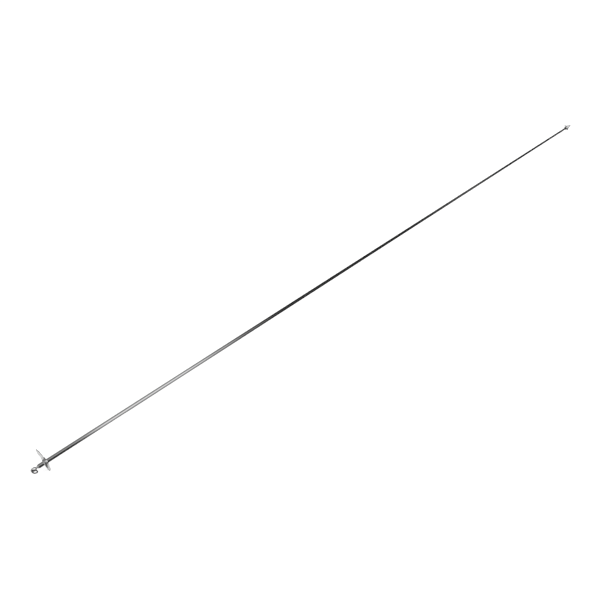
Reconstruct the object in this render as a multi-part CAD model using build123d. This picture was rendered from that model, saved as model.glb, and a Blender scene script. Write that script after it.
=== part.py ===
from build123d import *
import math
import os

# Long-reach drill paint mixer: a slim shaft with a three-blade propeller, a swivel eye and
# a split ring at the tip, and a wing-nut drive coupling at the other end. Millimetres.
# Frame: +X runs along the shaft from the tip to the drill, +Z is up with the mixer laid flat,
# and the origin is on the axis at the shoulder where the drive shank leaves the coupling.
# The x values below are measured from the shaft's end face at the tip; save() shifts each
# piece to the origin. Angles about +X go from +Y towards +Z, in degrees.

# ---- shaft ----
SHAFT_R = 3.0
NUT_X0 = 1862.0             # nose of the wing nut, where the shaft disappears into it
SHAFT_END = NUT_X0 + 18.0   # upper end, inside the coupling
SHAFT_CHAMFER = 0.4
FLAT_DEPTH = 0.35           # two milled flats that the hub's set screws bear on
FLAT_X0, FLAT_X1 = 5.6, 125.0
FLAT_CUTTER_W, FLAT_CUTTER_H = 4.0, 2.0

# ---- propeller ----
BLADES = 3
BLADE_1_ANGLE = 44.3
HUB_R, HUB_BORE_R = 4.6, 3.03
HUB_X0, HUB_L = 6.4, 4.8
HUB_X1 = HUB_X0 + HUB_L
HUB_MID = HUB_X0 + HUB_L / 2
HUB_CHAMFER, HUB_BORE_CHAMFER = 0.5, 0.25
# radius, chord, angle of the chord from the shaft's axis, camber, shift along the shaft,
# thickness
BLADE_SECTIONS = [
    (3.4, 5.8, 66.0, 0.20, 0.10, 1.20),
    (7.8, 8.4, 72.0, 0.50, 0.00, 1.20),
    (12.6, 9.6, 74.5, 0.70, -0.45, 1.20),
    (16.8, 8.0, 77.0, 0.50, -0.85, 1.20),
    (19.4, 5.0, 79.0, 0.25, -1.05, 0.85),
    (20.3, 3.2, 79.7, 0.12, -1.10, 0.85),
    (20.7, 1.8, 80.0, 0.06, -1.12, 0.85),
]
SCREW_ANGLES = (BLADE_1_ANGLE + 180.0, BLADE_1_ANGLE + 300.0)
SCREW_R, SCREW_CLEARANCE = 1.20, 0.05       # M2.5 set screws
SOCKET_R, SOCKET_DEPTH = 0.72, 1.1          # hexagon socket, radius to its corners

# ---- swivel eye at the tip ----
TIP_BORE_R, TIP_BORE_DEPTH = 1.65, 5.6
EYE_SHANK_R, EYE_GROOVE_R, EYE_GROOVE_W = 1.60, 1.00, 1.5
EYE_X, EYE_MEAN_R, EYE_WIRE_R = -5.9, 2.95, 0.85
NECK_R = 2.1
WASHER_R, WASHER_T = 2.6, 0.5
WASHER_GAP = 0.02
# tangential cross pin that keeps the eye in and lets it turn
PIN_X, PIN_R = 3.1, 0.60
PIN_SIDE_ANGLE = 43.2                       # side of the axis the pin passes on
PIN_OFFSET = EYE_GROOVE_R + PIN_R + 0.06    # from the axis
PIN_INSET = 0.25                            # each end, below the shaft's surface

# ---- split ring ----
RING_MEAN_R = 3.4
RING_WIRE_W, RING_WIRE_T = 1.0, 0.55        # flat wire: across the ring, along its axis
RING_TURNS = 2.0
RING_PITCH = RING_WIRE_T + 0.06
RING_HANG = 4.0             # swing from straight down, away from the drill, degrees
RING_TWIST = -46.0          # turn about its hanging line, degrees
RING_PLAY = 0.60            # slack between the ring and the eye

# ---- drive coupling ----
NUT_X1 = NUT_X0 + 18.0
NUT_SHOULDER_X = NUT_X0 + 8.0
NUT_R, NUT_NOSE_R, NUT_BORE_R, NUT_NOSE_BORE_R = 6.6, 4.4, 5.05, 3.08
WING_X0 = NUT_X0 + 8.0
WING_SPAN, WING_T = 22.0, 2.6
WING_ROOT_R = NUT_R - 1.1   # wings start inside the barrel's wall
WING_FILLET = 0.5
WING_ANGLE = 41.4           # direction of the wings and of the roll pin
THRUST_X0, THRUST_T = NUT_SHOULDER_X + 0.02, 0.6
FERRULE_X0, FERRULE_X1, FERRULE_R = NUT_X0 + 8.65, NUT_X0 + 11.6, 4.7
FERRULE_SLOT_W = 0.6
BODY_X0, THREAD_X1, BODY_X1 = NUT_X0 + 11.7, NUT_X0 + 18.8, NUT_X0 + 24.0
BODY_R = 5.75
THREAD_R, THREAD_PITCH, THREAD_DEPTH = 5.0, 1.5, 0.80
THREAD_FLANK, THREAD_ROOT = 0.62, 0.18      # lengths along the axis
SHANK_R, SHANK_X1 = 4.0, NUT_X0 + 42.0
ROLL_X, ROLL_R, ROLL_BORE_R = NUT_X0 + 21.4, 1.0, 0.5
ROLL_INSET = 0.15                           # each end, below the body's surface
ROLL_SLIT_W = 0.35
DRILL_REACH = 12.0          # from the axis, takes cross holes right through

X_DIR = Vector(1, 0, 0)


# ---------------- helpers ----------------
def on_axis(x):
    return Vector(x, 0, 0)


def radial(angle):
    a = math.radians(angle)
    return Vector(0, math.cos(a), math.sin(a))


def tangent(angle):
    return X_DIR.cross(radial(angle))


def cylinder(radius, start, direction, length):
    return Solid.make_cylinder(radius, length, Plane(origin=start, z_dir=direction))


def rod(radius, x0, x1):
    return cylinder(radius, on_axis(x0), X_DIR, x1 - x0)


def radial_cylinder(radius, x, angle, r0, r1):
    direction = radial(angle)
    return cylinder(radius, on_axis(x) + direction * r0, direction, r1 - r0)


def turned(points):
    """Solid of revolution about +X from (x, radius) points."""
    outline = Wire.make_polygon([Vector(x, r, 0) for x, r in points], close=True)
    return revolve(Face(outline), Axis.X, 360)


def flat_washer(x0, x1, bore_r, outer_r):
    return turned([(x0, bore_r), (x0, outer_r), (x1, outer_r), (x1, bore_r)])


def chamfer_ends(part, size):
    return chamfer(part.edges().filter_by(GeomType.CIRCLE), size)


def save(shape, name):
    solids = shape.solids()
    piece = solids[0] if len(solids) == 1 else Compound(children=list(solids))
    piece = piece.moved(Location((-BODY_X1, 0, 0)))
    export_step(piece, os.path.join("parts", name + ".step"))


# ---------------- shaft ----------------
def mixing_shaft():
    rim_r = SHAFT_R - SHAFT_CHAMFER
    shaft = turned([
        (0, 0), (0, rim_r), (SHAFT_CHAMFER, SHAFT_R),
        (SHAFT_END - SHAFT_CHAMFER, SHAFT_R), (SHAFT_END, rim_r), (SHAFT_END, 0),
    ])
    for angle in SCREW_ANGLES:
        # the box's width runs against the tangent
        corner = (on_axis(FLAT_X0) + radial(angle) * (SHAFT_R - FLAT_DEPTH)
                  + tangent(angle) * (FLAT_CUTTER_W / 2))
        shaft = shaft - Solid.make_box(
            FLAT_X1 - FLAT_X0, FLAT_CUTTER_W, FLAT_CUTTER_H,
            Plane(origin=corner, x_dir=X_DIR, z_dir=radial(angle)),
        )
    shaft = shaft - rod(TIP_BORE_R, -1, TIP_BORE_DEPTH)
    return shaft - cross_pin_cylinder(PIN_R, half_length=6)


def cross_pin_cylinder(radius, half_length):
    middle = on_axis(PIN_X) + radial(PIN_SIDE_ANGLE) * PIN_OFFSET
    direction = tangent(PIN_SIDE_ANGLE)
    return cylinder(radius, middle - direction * half_length, direction, 2 * half_length)


def swivel_cross_pin():
    half_chord = math.sqrt(SHAFT_R ** 2 - PIN_OFFSET ** 2)
    return chamfer_ends(cross_pin_cylinder(PIN_R - 0.01, half_chord - PIN_INSET), 0.12)


# ---------------- propeller ----------------
def propeller_hub():
    rim_r = HUB_R - HUB_CHAMFER
    mouth_r = HUB_BORE_R + HUB_BORE_CHAMFER
    hub = turned([
        (HUB_X0, mouth_r), (HUB_X0, rim_r), (HUB_X0 + HUB_CHAMFER, HUB_R),
        (HUB_X1 - HUB_CHAMFER, HUB_R), (HUB_X1, rim_r), (HUB_X1, mouth_r),
        (HUB_X1 - HUB_BORE_CHAMFER, HUB_BORE_R), (HUB_X0 + HUB_BORE_CHAMFER, HUB_BORE_R),
    ])
    for angle in SCREW_ANGLES:
        hub = hub - radial_cylinder(SCREW_R + SCREW_CLEARANCE, HUB_MID, angle, 0.5, 8.0)
    return hub


def hub_set_screw(angle):
    inner_r = SHAFT_R - FLAT_DEPTH + 0.02
    outer_r = HUB_R - 0.25
    screw = chamfer_ends(radial_cylinder(SCREW_R, HUB_MID, angle, inner_r, outer_r), 0.25)
    direction = radial(angle)
    floor = on_axis(HUB_MID) + direction * (outer_r - SOCKET_DEPTH)
    socket_plane = Plane(origin=floor, x_dir=X_DIR, z_dir=direction)
    return screw - extrude(socket_plane * RegularPolygon(SOCKET_R, 6), 2.0)


def blade_section(angle, radius, chord, chord_angle, camber, shift, thickness):
    """Cambered outline with rounded ends, square to the blade's radial line."""
    b = math.radians(chord_angle)
    plane = Plane(
        origin=on_axis(HUB_MID + shift) + radial(angle) * radius,
        x_dir=X_DIR * math.cos(b) + tangent(angle) * math.sin(b),
        z_dir=radial(angle),
    )
    half_t = thickness / 2
    end = chord / 2 - half_t

    def arc(*points):
        return Edge.make_three_point_arc(
            *[plane.from_local_coords(Vector(x, y, 0)) for x, y in points])

    return Wire([
        arc((-end, half_t), (0, camber + half_t), (end, half_t)),
        arc((end, half_t), (end + half_t, 0), (end, -half_t)),
        arc((end, -half_t), (0, camber - half_t), (-end, -half_t)),
        arc((-end, -half_t), (-end - half_t, 0), (-end, half_t)),
    ])


def propeller_blade(angle):
    sections = [blade_section(angle, *row) for row in BLADE_SECTIONS]
    blade = Solid.make_loft(sections, ruled=False)
    return blade - rod(HUB_R, HUB_X0 - 10, HUB_X1 + 10)


# ---------------- tip ----------------
def swivel_washer():
    return flat_washer(-WASHER_GAP - WASHER_T, -WASHER_GAP, NECK_R - 0.4, WASHER_R)


def tip_eye():
    shank_end = TIP_BORE_DEPTH - 0.4
    groove_x0, groove_x1 = PIN_X - EYE_GROOVE_W / 2, PIN_X + EYE_GROOVE_W / 2
    neck_x = -WASHER_T - 0.05
    neck_end = EYE_X + EYE_MEAN_R - 0.2     # inside the eye's wire
    neck = turned([
        (shank_end, 0), (shank_end, EYE_SHANK_R - 0.3), (shank_end - 0.3, EYE_SHANK_R),
        (groove_x1, EYE_SHANK_R), (groove_x1, EYE_GROOVE_R),
        (groove_x0, EYE_GROOVE_R), (groove_x0, EYE_SHANK_R),
        (neck_x, EYE_SHANK_R), (neck_x, NECK_R), (neck_x - 0.6, NECK_R), (neck_x - 1.2, 1.35),
        (neck_end, 1.0), (neck_end, 0),
    ])
    eye = Solid.make_torus(EYE_MEAN_R, EYE_WIRE_R, Plane(origin=(EYE_X, 0, 0), z_dir=(0, 1, 0)))
    return eye + neck


def split_ring():
    """Two turns of flat wire, linked through the eye."""
    swing, twist = math.radians(RING_HANG), math.radians(RING_TWIST)
    y_dir = Vector(0, 1, 0)
    hang = Vector(-math.sin(swing), 0, -math.cos(swing))
    drop = EYE_MEAN_R - EYE_WIRE_R - RING_WIRE_W / 2 - RING_PLAY + RING_MEAN_R
    centre = on_axis(EYE_X) + hang * drop
    normal = y_dir.cross(hang) * math.cos(twist) + y_dir * math.sin(twist)
    height = RING_TURNS * RING_PITCH
    base = Plane(origin=centre - normal * (height / 2), x_dir=hang, z_dir=normal)
    path = base.location * Edge.make_helix(RING_PITCH, height, RING_MEAN_R)
    start = path @ 0
    outward = start - centre
    outward = (outward - normal * outward.dot(normal)).normalized()
    section_plane = Plane(origin=start, x_dir=outward, z_dir=path % 0)
    section = section_plane * Rectangle(RING_WIRE_W, RING_WIRE_T)
    return sweep(section, path=path, is_frenet=True)


# ---------------- drive coupling ----------------
def nut_wing(angle):
    plane = Plane(origin=(0, 0, 0), x_dir=X_DIR, z_dir=tangent(angle))

    def point(x, r):
        return plane.from_local_coords(Vector(WING_X0 + x, r, 0))

    tip_r = WING_SPAN / 2
    nose_root, drill_root = point(0.6, WING_ROOT_R), point(8.2, WING_ROOT_R)
    nose_side, drill_side = point(0.4, tip_r - 3.8), point(7.3, tip_r - 4.0)
    crest = point(4.4, tip_r - 0.1)
    outline = Wire([
        Edge.make_line(nose_root, nose_side),
        Edge.make_three_point_arc(nose_side, point(1.6, tip_r - 0.7), crest),
        Edge.make_three_point_arc(crest, point(6.8, tip_r - 1.3), drill_side),
        Edge.make_line(drill_side, drill_root),
        Edge.make_line(drill_root, nose_root),
    ])
    wing = extrude(Face(outline), amount=WING_T / 2, both=True)
    wing = fillet(wing.edges(), WING_FILLET)
    return wing - rod(NUT_R - 0.6, NUT_X0 - 5, NUT_X1 + 5)


def wing_nut():
    """Slim nose that clears the shaft, bored barrel behind an inner shoulder, two wings."""
    nut = turned([
        (NUT_X0, NUT_NOSE_BORE_R + 0.4), (NUT_X0, NUT_NOSE_R - 0.9),
        (NUT_X0 + 1.2, NUT_NOSE_R), (WING_X0 - 1.6, NUT_NOSE_R), (WING_X0 + 0.6, NUT_R),
        (NUT_X1 - 0.6, NUT_R), (NUT_X1, NUT_R - 0.6),
        (NUT_X1, NUT_BORE_R + 0.35), (NUT_X1 - 0.35, NUT_BORE_R),
        (NUT_SHOULDER_X, NUT_BORE_R), (NUT_SHOULDER_X, NUT_NOSE_BORE_R),
        (NUT_X0 + 0.4, NUT_NOSE_BORE_R),
    ])
    for turn in (0, 180):
        nut = nut + nut_wing(WING_ANGLE + turn)
    return nut


def thrust_washer():
    return flat_washer(THRUST_X0, THRUST_X0 + THRUST_T, SHAFT_R + 0.08, FERRULE_R + 0.1)


def clamp_ferrule():
    bore_r = SHAFT_R + 0.04
    ferrule = turned([
        (FERRULE_X0, bore_r), (FERRULE_X0, FERRULE_R - 0.8), (FERRULE_X0 + 0.8, FERRULE_R),
        (FERRULE_X1 - 1.1, FERRULE_R), (FERRULE_X1, SHAFT_R + 0.5), (FERRULE_X1, bore_r),
    ])
    # slot through the wall on the +Z side
    corner = (FERRULE_X0 - 1, -FERRULE_SLOT_W / 2, SHAFT_R - 1)
    return ferrule - Solid.make_box(6, FERRULE_SLOT_W, 4, Plane(origin=corner))


def roll_pin_drill(radius):
    return radial_cylinder(radius, ROLL_X, WING_ANGLE, -DRILL_REACH, DRILL_REACH)


def coupling_body():
    """Grooved nose and plain barrel, bored for the shaft and the shank's spigot."""
    shaft_bore_r, spigot_bore_r = SHAFT_R + 0.03, SHAFT_R + 0.01
    root_r = THREAD_R - THREAD_DEPTH
    relief_r = THREAD_R - 0.5
    bore_step_x = SHAFT_END + 0.25
    profile = [
        (BODY_X0, SHAFT_R + 0.62), (BODY_X0, THREAD_R - 0.9), (BODY_X0 + 0.7, THREAD_R),
    ]
    # the thread is a row of separate ring grooves
    x = BODY_X0 + 1.1
    while x + THREAD_PITCH < THREAD_X1 - 0.9:
        root_x0 = x + THREAD_FLANK
        root_x1 = root_x0 + THREAD_ROOT
        profile += [
            (x, THREAD_R), (root_x0, root_r), (root_x1, root_r),
            (root_x1 + THREAD_FLANK, THREAD_R),
        ]
        x += THREAD_PITCH
    profile += [
        (THREAD_X1 - 1.0, THREAD_R), (THREAD_X1 - 0.6, relief_r), (THREAD_X1, relief_r),
        (THREAD_X1, BODY_R - 0.5), (THREAD_X1 + 0.5, BODY_R),
        (BODY_X1 - 1.4, BODY_R), (BODY_X1, BODY_R - 1.0), (BODY_X1, spigot_bore_r),
        (bore_step_x, spigot_bore_r), (bore_step_x, shaft_bore_r),
        (BODY_X0 + 0.6, shaft_bore_r),
    ]
    return turned(profile) - roll_pin_drill(ROLL_R)


def roll_pin():
    end_r = BODY_R - ROLL_INSET
    pin = radial_cylinder(ROLL_R - 0.01, ROLL_X, WING_ANGLE, -end_r, end_r)
    pin = chamfer_ends(pin, 0.3) - roll_pin_drill(ROLL_BORE_R)
    # slit through the wall on the drill side, beside the pin's centre plane
    along = radial(WING_ANGLE)
    corner = (on_axis(ROLL_X) - along * DRILL_REACH
              - tangent(WING_ANGLE) * (ROLL_SLIT_W / 2))
    slit_plane = Plane(origin=corner, x_dir=X_DIR, z_dir=along)
    return pin - Solid.make_box(3, ROLL_SLIT_W, 2 * DRILL_REACH, slit_plane)


def drive_shank():
    """Plain round end for the drill chuck, and a spigot pinned in the coupling body."""
    spigot_x0 = SHAFT_END + 0.5
    shank = turned([
        (spigot_x0, 0), (spigot_x0, SHAFT_R - 0.4), (spigot_x0 + 0.4, SHAFT_R),
        (BODY_X1, SHAFT_R), (BODY_X1, SHANK_R),
        (SHANK_X1 - 0.8, SHANK_R), (SHANK_X1, SHANK_R - 0.8), (SHANK_X1, 0),
    ])
    return shank - roll_pin_drill(ROLL_R)


# ---------------- output ----------------
os.makedirs("parts", exist_ok=True)
for build in (
    mixing_shaft, swivel_cross_pin, propeller_hub, swivel_washer, tip_eye, split_ring,
    wing_nut, thrust_washer, clamp_ferrule, coupling_body, roll_pin, drive_shank,
):
    save(build(), build.__name__)
for number, angle in enumerate(SCREW_ANGLES, 1):
    save(hub_set_screw(angle), f"hub_set_screw_{number}")
for i in range(BLADES):
    save(propeller_blade(BLADE_1_ANGLE + i * 360 / BLADES), f"propeller_blade_{i + 1}")
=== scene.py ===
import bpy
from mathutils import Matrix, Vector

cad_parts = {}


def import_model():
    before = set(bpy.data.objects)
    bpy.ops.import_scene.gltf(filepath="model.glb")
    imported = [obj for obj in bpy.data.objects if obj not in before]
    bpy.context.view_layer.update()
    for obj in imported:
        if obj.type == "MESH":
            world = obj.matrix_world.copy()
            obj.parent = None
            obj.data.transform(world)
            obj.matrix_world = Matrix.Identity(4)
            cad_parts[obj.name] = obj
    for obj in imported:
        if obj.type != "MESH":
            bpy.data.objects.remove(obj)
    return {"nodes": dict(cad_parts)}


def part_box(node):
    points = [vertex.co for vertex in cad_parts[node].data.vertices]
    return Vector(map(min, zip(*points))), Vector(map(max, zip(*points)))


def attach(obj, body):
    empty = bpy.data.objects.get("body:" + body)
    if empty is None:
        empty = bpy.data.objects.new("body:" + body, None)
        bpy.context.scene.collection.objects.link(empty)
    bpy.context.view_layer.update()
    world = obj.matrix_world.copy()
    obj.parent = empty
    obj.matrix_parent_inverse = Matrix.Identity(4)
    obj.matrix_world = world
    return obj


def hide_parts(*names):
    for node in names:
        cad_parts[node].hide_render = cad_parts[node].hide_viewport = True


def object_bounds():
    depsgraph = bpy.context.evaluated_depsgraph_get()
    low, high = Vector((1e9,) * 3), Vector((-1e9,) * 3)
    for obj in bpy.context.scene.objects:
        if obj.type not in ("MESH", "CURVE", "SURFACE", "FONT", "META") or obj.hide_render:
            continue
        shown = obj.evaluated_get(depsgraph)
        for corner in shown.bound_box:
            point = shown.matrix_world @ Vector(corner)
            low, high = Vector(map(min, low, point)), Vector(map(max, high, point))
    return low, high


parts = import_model()["nodes"]

# A mixer: a long round shaft on the X axis, with a swivel eye and a three-bladed propeller
# near its low-X tip and a wing nut far along +X. It lies over a pale floor, and Z is up.
# Dimensions are in millimetres, angles about X run from +Y towards +Z.

import math

import bmesh
import bpy
from mathutils import Matrix, Vector

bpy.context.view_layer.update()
MM = 0.001
BLADE_1_ANGLE = 44.3        # degrees about X; it clocks the shaft's flats too
scene = bpy.context.scene


# ------------------------------------------------------------------ shader helpers
class Graph:
    """Builds the node tree of a material or a world from empty."""

    def __init__(self, owner):
        owner.use_nodes = True
        self.tree = owner.node_tree
        self.tree.nodes.clear()

    def set(self, socket, value):
        """Link a socket, or store a constant."""
        if isinstance(value, bpy.types.NodeSocket):
            self.tree.links.new(value, socket)
        else:
            socket.default_value = value

    def add(self, kind, inputs=None, **props):
        node = self.tree.nodes.new(kind)
        for key, value in props.items():
            setattr(node, key, value)
        for key, value in (inputs or {}).items():
            self.set(node.inputs[key], value)
        return node

    def math(self, op, a, b=0.0, c=0.0, clamp=False):
        inputs = {0: a, 1: b, 2: c}
        return self.add("ShaderNodeMath", inputs, operation=op, use_clamp=clamp).outputs[0]

    def dot(self, a, b):
        node = self.add("ShaderNodeVectorMath", {0: a, 1: b}, operation="DOT_PRODUCT")
        return node.outputs["Value"]

    def fade(self, value, weight):
        """Scale a value down to nothing as the weight rises to 1."""
        return self.math("MULTIPLY", value, self.math("SUBTRACT", 1.0, weight))

    def ramp(self, fac, stops):
        """Eased grey ramp through (position, value) stops."""
        node = self.add("ShaderNodeValToRGB", {0: fac})
        node.color_ramp.interpolation = "EASE"
        elements = node.color_ramp.elements
        while len(elements) > 1:
            elements.remove(elements[-1])
        elements[0].position = stops[0][0]
        elements[0].color = (stops[0][1],) * 3 + (1,)
        for position, value in stops[1:]:
            elements.new(position).color = (value,) * 3 + (1,)
        return node.outputs[0]

    def noise(self, vec, scale, detail, rough=0.55, stretch=None):
        if stretch is not None:
            vec = self.add("ShaderNodeMapping", {"Vector": vec, "Scale": stretch}).outputs[0]
        inputs = {"Vector": vec, "Scale": scale, "Detail": detail, "Roughness": rough}
        return self.add("ShaderNodeTexNoise", inputs).outputs["Fac"]

    def mix(self, fac, a, b, blend="MIX"):
        """Mix two colours, each a socket or an RGB tuple."""
        a, b = (v + (1,) if isinstance(v, tuple) else v for v in (a, b))
        inputs = {"Factor": fac, 6: a, 7: b}
        return self.add("ShaderNodeMix", inputs, data_type="RGBA", blend_type=blend).outputs[2]


# ------------------------------------------------------------------ metals
def metal(name, base, rough, grain, grain_depth, smudge, dark=0.0, wear=0.0, speckle=0.0,
          aniso=0.0, vary=0.14, marks=0.5):
    """Bare or plated metal.

    grain: noise frequency along x, y, z; grain_depth: its bump strength
    smudge: roughness variation; vary: brightness variation; marks: scratch height
    dark: extra painted shade in recesses; wear: bright edges; speckle: dark spots
    """
    mat = bpy.data.materials.new(name)
    g = Graph(mat)
    coords = g.add("ShaderNodeTexCoord").outputs["Object"]
    lines = g.noise(coords, scale=1.0, detail=3.0, rough=0.6, stretch=grain)
    cloud = g.noise(coords, scale=90.0, detail=5.0, rough=0.6)
    spots = g.noise(coords, scale=900.0, detail=3.0, rough=0.7)
    scratch = g.noise(coords, scale=1.0, detail=2.0, rough=0.5,
                      stretch=(grain[0] * 0.35, grain[1] * 0.22, grain[2] * 0.22))

    # colour: soft variation, painted shade in recesses, dark spots, bright worn edges
    tone = g.math("ADD", g.math("MULTIPLY", cloud, 0.7), g.math("MULTIPLY", lines, 0.3))
    shade = g.ramp(tone, [(0.3, 1.0 - vary), (0.7, 1.0)])
    color = g.mix(1.0, base, shade, blend="MULTIPLY")
    # painted shade: the colour darkens where ambient occlusion finds a recess
    occlusion = g.add("ShaderNodeAmbientOcclusion", {"Distance": 0.0012}, samples=4)
    recess_shade_mask = g.ramp(occlusion.outputs["AO"], [(0.25, 1.0), (0.85, 0.0)])
    color = g.mix(g.math("MULTIPLY", recess_shade_mask, 0.35 + dark), color, tuple(v * 0.30 for v in base))
    if speckle:
        spot_mask = g.ramp(spots, [(0.60, 0.0), (0.72, 1.0)])
        color = g.mix(g.math("MULTIPLY", spot_mask, speckle), color,
                      tuple(v * 0.55 for v in base))
    if wear:
        bevel = g.add("ShaderNodeBevel", {"Radius": 0.00022}, samples=4)
        normal = g.add("ShaderNodeNewGeometry").outputs["Normal"]
        bend = g.math("SUBTRACT", 1.0, g.dot(bevel.outputs[0], normal))
        edge = g.ramp(bend, [(0.01, 0.0), (0.10, 1.0)])
        edge = g.math("MULTIPLY", edge, g.ramp(cloud, [(0.35, 0.3), (0.6, 1.0)]))
        color = g.mix(g.math("MULTIPLY", edge, wear), color, (0.86, 0.86, 0.86))

    # roughness: the base value, smudged, and duller in recesses
    for layer, amount in ((cloud, smudge), (lines, smudge * 0.8)):
        offset = g.math("MULTIPLY", g.math("SUBTRACT", layer, 0.5), amount)
        rough = g.math("ADD", rough, offset)
    rough = g.math("ADD", rough, g.math("MULTIPLY", recess_shade_mask, 0.15), clamp=True)

    # bumps: the grain, then spots and scratches over it
    grain_bump = g.add("ShaderNodeBump",
                       {"Strength": grain_depth, "Distance": 0.00004, "Height": lines})
    pits = g.math("ADD", g.math("MULTIPLY", spots, 0.25 + speckle),
                  g.math("MULTIPLY", scratch, marks))
    mark_bump = g.add("ShaderNodeBump", {"Strength": 0.25, "Distance": 0.00006,
                                         "Height": pits, "Normal": grain_bump.outputs[0]})
    bsdf = g.add("ShaderNodeBsdfPrincipled", {
        "Base Color": color, "Metallic": 1.0, "Roughness": rough,
        "Anisotropic": aniso, "Normal": mark_bump.outputs[0]})
    g.add("ShaderNodeOutputMaterial", {0: bsdf.outputs[0]})
    return mat


METALS = {
    "shaft": metal("shaft_polished", (0.78, 0.78, 0.78), rough=0.045, grain=(9000, 120, 120),
                   grain_depth=0.006, smudge=0.03, vary=0.05, marks=0.05),
    "hub": metal("hub_turned", (0.82, 0.82, 0.82), rough=0.30, grain=(5200, 260, 260),
                 grain_depth=0.35, smudge=0.16, speckle=0.12, wear=0.6),
    "blade": metal("blade_brushed", (0.82, 0.82, 0.82), rough=0.27, grain=(420, 2600, 2600),
                   grain_depth=0.35, smudge=0.16, speckle=0.08, wear=0.7, aniso=0.4),
    "weld": metal("weld_bead", (0.60, 0.59, 0.58), rough=0.36, grain=(2600, 2600, 2600),
                  grain_depth=0.5, smudge=0.2, speckle=0.3, dark=0.1),
    "bright": metal("bright_plated", (0.86, 0.86, 0.86), rough=0.26, grain=(3800, 500, 500),
                    grain_depth=0.16, smudge=0.12, wear=0.4, speckle=0.05),
    "coupling": metal("coupling_turned", (0.84, 0.84, 0.84), rough=0.27, grain=(7000, 160, 160),
                      grain_depth=0.45, smudge=0.14, wear=0.6),
    "shank": metal("shank_ground", (0.82, 0.82, 0.83), rough=0.26, grain=(6500, 200, 200),
                   grain_depth=0.35, smudge=0.16, speckle=0.08, wear=0.5),
    "ring": metal("ring_spring_steel", (0.13, 0.13, 0.13), rough=0.32, grain=(1800, 1800, 1800),
                  grain_depth=0.3, smudge=0.2, wear=0.6, speckle=0.12),
    "pin": metal("pin_steel", (0.42, 0.42, 0.43), rough=0.32, grain=(2200, 2200, 2200),
                 grain_depth=0.3, smudge=0.15, wear=0.6),
    "screw": metal("screw_black_oxide", (0.10, 0.10, 0.105), rough=0.38,
                   grain=(2400, 2400, 2400), grain_depth=0.3, smudge=0.2, wear=0.8),
    "brass": metal("washer_brass", (0.76, 0.60, 0.32), rough=0.28, grain=(2600, 2600, 2600),
                   grain_depth=0.25, smudge=0.16, wear=0.3, speckle=0.1),
}

# the loaded parts that wear each metal
WEARERS = {
    "pin": ("swivel_cross_pin", "roll_pin"),
    "hub": ("propeller_hub",),
    "screw": ("hub_set_screw_1", "hub_set_screw_2"),
    "blade": ("propeller_blade_1", "propeller_blade_2", "propeller_blade_3"),
    "bright": ("swivel_washer", "tip_eye", "wing_nut"),
    "ring": ("split_ring",),
    "brass": ("thrust_washer", "clamp_ferrule"),
    "coupling": ("coupling_body",),
    "shank": ("drive_shank",),
}
for key, names in WEARERS.items():
    for name in names:
        slots = parts[name].data.materials
        slots.clear()
        slots.append(METALS[key])


# ------------------------------------------------------------------ mesh helpers
def shade_smooth(mesh, angle):
    mesh.polygons.foreach_set("use_smooth", [True] * len(mesh.polygons))
    mesh.set_sharp_from_angle(angle=math.radians(angle))


def add_mesh(name, verts, faces, mat, angle=None):
    """Link a new mesh object; it is smooth below the given edge angle, or flat if none."""
    mesh = bpy.data.meshes.new(name)
    mesh.from_pydata([tuple(v) for v in verts], [], faces)
    mesh.validate()
    mesh.update()
    obj = bpy.data.objects.new(name, mesh)
    scene.collection.objects.link(obj)
    mesh.materials.append(mat)
    if angle is not None:
        shade_smooth(mesh, angle)
    return obj


def face_outward(mesh, merge_dist=None):
    bm = bmesh.new()
    bm.from_mesh(mesh)
    if merge_dist is not None:
        bmesh.ops.remove_doubles(bm, verts=bm.verts, dist=merge_dist)
    bmesh.ops.recalc_face_normals(bm, faces=bm.faces)
    bm.to_mesh(mesh)
    bm.free()


def centre(node):
    low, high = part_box(node)
    return (Vector(low) + Vector(high)) / 2


# ------------------------------------------------------------------ shaft
SHAFT_R = 3.0
CHAMFER = 0.4
BORE_R, BORE_DEPTH = 1.65, 5.6          # blind bore in the low-X end
FLAT_H = 2.65                           # from the axis to each flat
FLAT_START, FLAT_END = 5.6, 125.0
FLAT_ANGLES = [math.radians(BLADE_1_ANGLE + turn) for turn in (180, 300)]
ROUND_STEPS = 120
PIN_HOLE_R, PIN_CUT_LENGTH, PIN_ANGLE = 0.60, 12, 133.2
SHARP_ANGLE = 35
FLATTED = "flatted"                     # marks a station whose section has the flats


def shaft_angles():
    """Even steps round the shaft, plus both edges of each flat."""
    half = math.acos(FLAT_H / SHAFT_R)
    angles = [2 * math.pi * i / ROUND_STEPS for i in range(ROUND_STEPS)]
    for flat in FLAT_ANGLES:
        angles += [flat - half, flat + half]
    return sorted({round(a % (2 * math.pi), 6) for a in angles})


def flatted_radius(angle):
    radius = SHAFT_R
    for flat in FLAT_ANGLES:
        cosine = math.cos(angle - flat)
        if cosine > 0.5:
            radius = min(radius, FLAT_H / cosine)
    return radius


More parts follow.
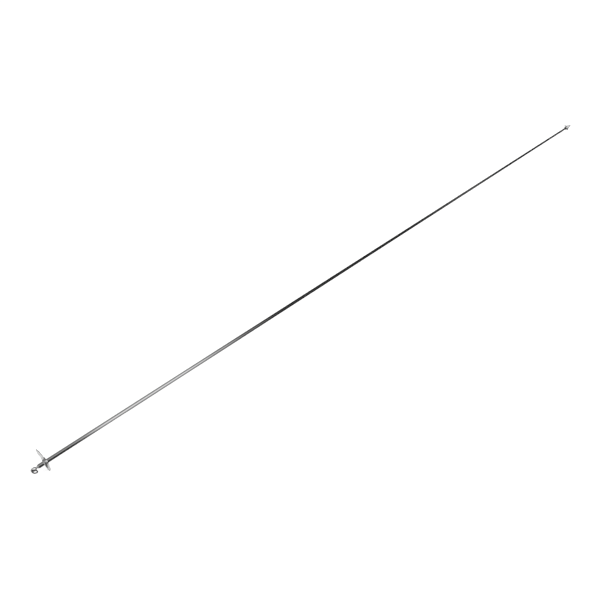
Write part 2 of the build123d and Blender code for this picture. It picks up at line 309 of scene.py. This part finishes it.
def build_shaft():
    low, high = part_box("mixing_shaft")
    tip_x = low[0] / MM
    length = (high[0] - low[0]) / MM
    stations = [  # distance from the tip, radius; radius 0 closes the end on the axis
        (BORE_DEPTH, 0.0), (BORE_DEPTH, BORE_R), (0.0, BORE_R),
        (0.0, SHAFT_R - CHAMFER), (CHAMFER, SHAFT_R),
        (FLAT_START, SHAFT_R), (FLAT_START, FLATTED),
        *[(x, FLATTED) for x in (20, 40, 60, 80, 100)],
        (FLAT_END, FLATTED), (FLAT_END, SHAFT_R),
        *[(x, SHAFT_R) for x in range(150, int(length) - 20, 50)],
        (length - CHAMFER, SHAFT_R), (length, SHAFT_R - CHAMFER), (length, 0.0),
    ]
    angles = shaft_angles()
    verts, faces, rings = [], [], []
    for x, radius in stations:
        start = len(verts)
        if radius == 0.0:
            verts.append(Vector((x + tip_x, 0, 0)) * MM)
        else:
            for a in angles:
                r = flatted_radius(a) if radius == FLATTED else radius
                verts.append(Vector((x + tip_x, r * math.cos(a), r * math.sin(a))) * MM)
        rings.append(range(start, len(verts)))
    for a, b in zip(rings, rings[1:]):
        for i in range(len(angles)):
            j = (i + 1) % len(angles)
            if len(a) == 1:
                faces.append((a[0], b[j], b[i]))
            elif len(b) == 1:
                faces.append((a[i], a[j], b[0]))
            else:
                faces.append((a[i], a[j], b[j], b[i]))
    shaft = add_mesh("mixing_shaft_round", verts, faces, METALS["shaft"], angle=SHARP_ANGLE)
    face_outward(shaft.data, merge_dist=1e-7)
    return shaft


def drill_pin_hole(shaft):
    """Cross hole for the pin that keeps the swivel eye in."""
    bpy.ops.mesh.primitive_cylinder_add(vertices=40, radius=PIN_HOLE_R * MM,
                                        depth=PIN_CUT_LENGTH * MM)
    cutter = bpy.context.object
    angle = math.radians(PIN_ANGLE)
    axis = Vector((0, math.cos(angle), math.sin(angle)))
    cutter.rotation_mode = "QUATERNION"
    cutter.rotation_quaternion = axis.to_track_quat("Z", "Y")
    cutter.location = centre("swivel_cross_pin")
    hole = shaft.modifiers.new("cross_hole", "BOOLEAN")
    hole.operation = "DIFFERENCE"
    hole.solver = "EXACT"
    hole.object = cutter
    bpy.context.view_layer.update()
    drilled = shaft.evaluated_get(bpy.context.evaluated_depsgraph_get())
    mesh = bpy.data.meshes.new_from_object(drilled)
    shaft.modifiers.clear()
    shaft.data = mesh
    bpy.data.objects.remove(cutter, do_unlink=True)
    shade_smooth(mesh, SHARP_ANGLE)


shaft = build_shaft()
drill_pin_hole(shaft)
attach(shaft, "shaft")
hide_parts("mixing_shaft")

# ------------------------------------------------------------------ weld beads at blade roots
HUB_R = 4.6
HUB_X = centre("propeller_hub").x       # metres
CHORD, THICK, CAMBER = 6.51, 1.2, 0.282  # the blade's root section
PITCH = math.radians(67.6)              # from the X axis to the chord
ROOT_SHIFT = 0.07                       # along X from the hub's middle
FACE_SHARE = 0.7                        # part of half the outline spent on a face
BEAD_OUT, BEAD_LIFT = 0.10, 0.06        # bead centre off the section and off the hub
BEAD_HALF_W, BEAD_HALF_H = 0.42, 0.30
BEAD_STEPS, BEAD_SIDES = 160, 12


def root_outline(k):
    """Point k of 1 round the root section, along and across its chord."""
    half_thick = THICK / 2
    reach = CHORD / 2 - half_thick
    side, u = (1, 2 * k) if k < 0.5 else (-1, 2 * k - 1)
    if u < FACE_SHARE:
        t = side * (2 * u / FACE_SHARE - 1)
        return reach * t, CAMBER * (1 - t * t) + side * half_thick
    turn = math.pi * (u - FACE_SHARE) / (1 - FACE_SHARE)
    return side * (reach + half_thick * math.sin(turn)), side * half_thick * math.cos(turn)


def build_bead(blade):
    blade_angle = math.radians(BLADE_1_ANGLE + 120 * blade)
    verts, faces = [], []
    for i in range(BEAD_STEPS):
        x, y = root_outline(i / BEAD_STEPS)
        next_x, next_y = root_outline((i + 0.5) / BEAD_STEPS)
        dx, dy = next_x - x, next_y - y
        step = math.hypot(dx, dy)
        out_x, out_y = -dy / step, dx / step
        # long and short waves in the bead's thickness
        wobble = (1 + 0.10 * math.sin(i * 2 * math.pi / 6.4)
                  + 0.05 * math.sin(i * 0.9 + blade))
        for j in range(BEAD_SIDES):
            a = 2 * math.pi * j / BEAD_SIDES
            out = BEAD_OUT + BEAD_HALF_W * wobble * math.cos(a)
            chordwise, crosswise = x + out_x * out, y + out_y * out
            axial = chordwise * math.cos(PITCH) + crosswise * math.sin(PITCH)
            around = chordwise * math.sin(PITCH) - crosswise * math.cos(PITCH)
            r = HUB_R + BEAD_LIFT + BEAD_HALF_H * wobble * math.sin(a)
            p = blade_angle + around / HUB_R
            verts.append(Vector((HUB_X / MM + ROOT_SHIFT + axial,
                                 r * math.cos(p), r * math.sin(p))) * MM)
    for i in range(BEAD_STEPS):
        for j in range(BEAD_SIDES):
            row, next_row = i * BEAD_SIDES, (i + 1) % BEAD_STEPS * BEAD_SIDES
            next_j = (j + 1) % BEAD_SIDES
            faces.append((row + j, next_row + j, next_row + next_j, row + next_j))
    bead = add_mesh(f"weld_bead_{blade + 1}", verts, faces, METALS["weld"], angle=60)
    face_outward(bead.data)
    return bead


for blade in range(3):
    bead = build_bead(blade)
    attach(bead, "propeller")

# ------------------------------------------------------------------ floor
FLOOR_GAP = 0.4
FLOOR_HALF = 30             # metres


def floor_material():
    """Pale, faintly uneven and slightly glowing."""
    mat = bpy.data.materials.new("floor_pale")
    g = Graph(mat)
    coords = g.add("ShaderNodeTexCoord").outputs["Object"]
    tone = g.ramp(g.noise(coords, scale=2.0, detail=3.0), [(0.3, 0.90), (0.7, 0.93)])
    diffuse = g.add("ShaderNodeBsdfDiffuse", {"Color": tone})
    glow = g.add("ShaderNodeEmission", {"Color": tone, "Strength": 0.55})
    both = g.add("ShaderNodeAddShader", {0: diffuse.outputs[0], 1: glow.outputs[0]})
    g.add("ShaderNodeOutputMaterial", {0: both.outputs[0]})
    return mat


floor_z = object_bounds()[0].z - FLOOR_GAP * MM
corners = [(x * FLOOR_HALF, y * FLOOR_HALF, floor_z)
           for x, y in ((-1, -1), (1, -1), (1, 1), (-1, 1))]
floor = add_mesh("floor", corners, [(0, 1, 2, 3)], floor_material())
floor.visible_glossy = False

# ------------------------------------------------------------------ camera
SENSOR_W, LENS = 36.0, 27.0
# in the camera's own axes: right, down, forward
HUB_IN_VIEW = Vector((-332.2174, 211.5, 586.9565)) * MM
NUT_RAY = Vector((0.5894444, -0.3811111, 1.0))      # towards the wing nut's low-X end


def place_camera():
    """Put the hub at its place in view and the nut on its ray, with no roll about the view."""
    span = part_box("wing_nut")[0][0] - HUB_X
    # far point on the ray that lies the hub-to-nut span away from the hub
    ray_sq = NUT_RAY.length_squared
    toward = HUB_IN_VIEW.dot(NUT_RAY)
    depth = (toward + math.sqrt(
        toward ** 2 - ray_sq * (HUB_IN_VIEW.length_squared - span ** 2))) / ray_sq
    # the world's axes as the camera sees them
    x_axis = (NUT_RAY * depth - HUB_IN_VIEW).normalized()
    pitch = math.atan2(-x_axis.y, x_axis.z)
    z_axis = Vector((0, -math.cos(pitch), -math.sin(pitch)))
    axes = Matrix((x_axis, z_axis.cross(x_axis), z_axis))

    data = bpy.data.cameras.new("camera")
    data.sensor_width = SENSOR_W
    data.lens = LENS
    data.clip_start, data.clip_end = 0.01, 100
    camera = bpy.data.objects.new("camera", data)
    scene.collection.objects.link(camera)
    scene.camera = camera
    location = Vector((HUB_X, 0, 0)) - axes @ HUB_IN_VIEW
    # a camera's own axes are right, up, back
    rotation = axes @ Matrix.Diagonal((1, -1, -1))
    camera.matrix_world = Matrix.Translation(location) @ rotation.to_4x4()
    return location


camera_at = place_camera()

# ------------------------------------------------------------------ studio surroundings
# brightness stops; positions map a direction's component from -1..1 to 0..1
ALONG = [  # along the shaft, towards +X
    (0.0, 0.90), (0.36, 0.92), (0.47, 0.90), (0.57, 0.97), (0.645, 0.97), (0.665, 0.86),
    (0.69, 0.60), (0.725, 0.22), (0.76, 0.06), (0.88, 0.04), (0.905, 0.08), (0.927, 0.14),
    (0.945, 0.04), (1.0, 0.02)]
ACROSS = [  # across the shaft, upwards
    (0.0, 0.30), (0.08, 0.28), (0.17, 0.32), (0.32, 1.0), (0.68, 1.0), (0.83, 0.32),
    (0.92, 0.28), (1.0, 0.30)]
CARDS = [  # across, beside the propeller: a dark card below and a grey one above
    (0.0, 0.03), (0.40, 0.035), (0.46, 0.12), (0.52, 0.44), (0.63, 0.50), (0.72, 0.36),
    (0.82, 0.25), (1.0, 0.17)]
CARD_SPAN = [(0.47, 0.0), (0.49, 1.0), (0.525, 1.0), (0.565, 0.0)]  # along, where cards show
# away from the camera
BEHIND = [(0.05, 0.9), (0.18, 0.0)]
BEHIND_CARDS = [(0.10, 0.9), (0.25, 0.0)]
BACKDROP = [(0.025, 0.72), (0.075, 0.0)]


def reflected_brightness(g):
    """Brightness that reflections meet, by direction about the shaft."""
    direction = g.add("ShaderNodeTexCoord").outputs["Generated"]
    to_camera = Vector((0, camera_at.y, camera_at.z)).normalized()
    upward = to_camera.cross(Vector((1, 0, 0)))
    x_part = g.dot(direction, (1, 0, 0))
    radial = g.math("SUBTRACT", 1.0, g.math("MULTIPLY", x_part, x_part))
    radial = g.math("SQRT", g.math("MAXIMUM", radial, 0.0004))

    def across_shaft(axis):
        part = g.math("DIVIDE", g.dot(direction, tuple(axis)), radial)
        return g.math("MULTIPLY_ADD", part, 0.5, 0.5)

    x01 = g.math("MULTIPLY_ADD", x_part, 0.5, 0.5)
    up01 = across_shaft(upward)
    camera01 = across_shaft(to_camera)
    across = g.math("MAXIMUM", g.ramp(up01, ACROSS), g.ramp(camera01, BEHIND))
    cards = g.math("MAXIMUM", g.ramp(up01, CARDS), g.ramp(camera01, BEHIND_CARDS))
    near = g.ramp(x01, CARD_SPAN)
    value = g.math("MULTIPLY", g.ramp(x01, ALONG), across)
    # bright again past the shaft's far end, a step too narrow for the ramp
    past = g.math("MULTIPLY", g.math("SUBTRACT", x01, 0.9690), 2000.0, clamp=True)
    glare = g.math("MULTIPLY", past, g.math("MULTIPLY_ADD", across, 0.8, 1.1))
    value = g.math("ADD", g.fade(value, past), glare)
    value = g.math("ADD", g.fade(value, near), g.math("MULTIPLY", cards, near))
    # the pale backdrop straight behind the mixer, which the blades face
    return g.math("MAXIMUM", value, g.ramp(camera01, BACKDROP))


def build_world():
    """Plain fill light, shaped reflections, and white where the camera sees it."""
    world = bpy.data.worlds.new("studio")
    scene.world = world
    g = Graph(world)

    def background(color, strength):
        node = g.add("ShaderNodeBackground", {"Color": color, "Strength": strength})
        return node.outputs[0]

    white = (1, 1, 1, 1)
    rays = g.add("ShaderNodeLightPath").outputs
    shader = background(white, strength=0.62)
    for ray, seen in (("Is Glossy Ray", background(reflected_brightness(g), strength=1.0)),
                      ("Is Camera Ray", background(white, strength=1.0))):
        shader = g.add("ShaderNodeMixShader", {0: rays[ray], 1: shader, 2: seen}).outputs[0]
    g.add("ShaderNodeOutputWorld", {0: shader})


def add_key_light():
    light = bpy.data.lights.new("key", "AREA")
    light.shape = "DISK"
    light.size = 1.6
    light.energy = 18
    key = bpy.data.objects.new("key", light)
    scene.collection.objects.link(key)
    key.location = (-0.4, -1.2, 1.9)
    target = Vector((0.3, 0, 0))
    key.rotation_mode = "QUATERNION"
    key.rotation_quaternion = (key.location - target).to_track_quat("Z", "Y")
    key.visible_glossy = False


build_world()
add_key_light()
scene.view_settings.view_transform = "Standard"
